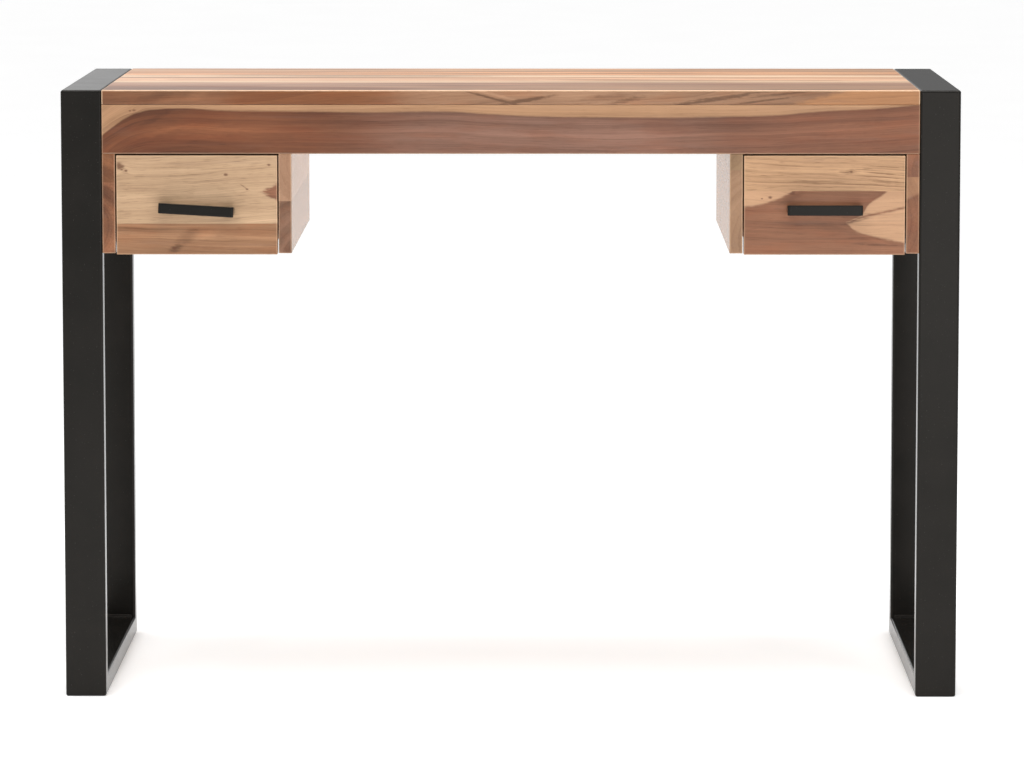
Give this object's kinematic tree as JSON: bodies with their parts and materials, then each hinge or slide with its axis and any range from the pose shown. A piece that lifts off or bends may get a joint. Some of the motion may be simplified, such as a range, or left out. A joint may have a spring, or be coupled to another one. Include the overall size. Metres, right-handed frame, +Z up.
{
  "type": "writing desk with drawers",
  "caption": "Console-sized writing desk: edge-glued wood top and apron between closed black steel loop frames, with a small sliding drawer with a bar pull under each end.",
  "frame": {"origin": "on the floor, at the centre of the footprint measured over the drawer pulls", "axes": "+Z up, -Y out of the front where the drawers open, +X to the right as seen from the front"},
  "size_m": [1.1, 0.524, 0.75],
  "materials": {
    "black_steel": "satin black powder coat",
    "top_wood": "clear satin lacquer",
    "sap_stave": "clear satin lacquer",
    "heartwood": "clear satin lacquer",
    "sapwood": "clear satin lacquer",
    "beech": "planed, unfinished",
    "plywood": "sanded, unfinished",
    "zinc_steel": "zinc plated",
    "brass": "turned",
    "black_plastic": "moulded"
  },
  "bodies": {
    "desk": {"top_stave_1": "top_wood", "top_stave_2": "top_wood", "top_stave_3": "sap_stave", "top_stave_4": "top_wood", "top_stave_5": "sap_stave", "top_stave_6": "top_wood", "top_stave_7": "top_wood", "front_apron": "heartwood", "rear_apron": "heartwood", "top_dowels": "beech", "apron_dowels": "beech", "back_dowels": "beech", "left_front_leg": "black_steel", "left_rear_leg": "black_steel", "left_top_bar": "black_steel", "left_bottom_bar": "black_steel", "left_frame_bolts": "zinc_steel", "left_frame_washers": "zinc_steel", "left_threaded_inserts": "brass", "left_hole_caps": "black_plastic", "left_outer_cheek_lower": "heartwood", "left_outer_cheek_upper": "heartwood", "left_inner_cheek_lower": "heartwood", "left_inner_cheek_upper": "sapwood", "left_casing_back": "heartwood", "left_outer_runner": "beech", "left_inner_runner": "beech", "left_runner_screws": "zinc_steel", "right_front_leg": "black_steel", "right_rear_leg": "black_steel", "right_top_bar": "black_steel", "right_bottom_bar": "black_steel", "right_frame_bolts": "zinc_steel", "right_frame_washers": "zinc_steel", "right_threaded_inserts": "brass", "right_hole_caps": "black_plastic", "right_outer_cheek_lower": "heartwood", "right_outer_cheek_upper": "heartwood", "right_inner_cheek_lower": "heartwood", "right_inner_cheek_upper": "sapwood", "right_casing_back": "heartwood", "right_outer_runner": "beech", "right_inner_runner": "beech", "right_runner_screws": "zinc_steel"},
    "left_drawer": {"left_drawer_front_lower": "heartwood", "left_drawer_front_upper": "sapwood", "left_drawer_outer_side": "sapwood", "left_drawer_inner_side": "sapwood", "left_drawer_back": "sapwood", "left_drawer_bottom": "plywood", "left_pull": "black_steel", "left_pull_screws": "zinc_steel"},
    "right_drawer": {"right_drawer_front_lower": "heartwood", "right_drawer_front_upper": "sapwood", "right_drawer_outer_side": "sapwood", "right_drawer_inner_side": "sapwood", "right_drawer_back": "sapwood", "right_drawer_bottom": "plywood", "right_pull": "black_steel", "right_pull_screws": "zinc_steel"}
  },
  "joints": [
    {"name": "left_drawer_slide", "type": "slide", "parent": "desk", "child": "left_drawer", "axis": [0, -1, 0], "range_m": [0, 0.3]},
    {"name": "right_drawer_slide", "type": "slide", "parent": "desk", "child": "right_drawer", "axis": [0, -1, 0], "range_m": [0, 0.3]}
  ]
}
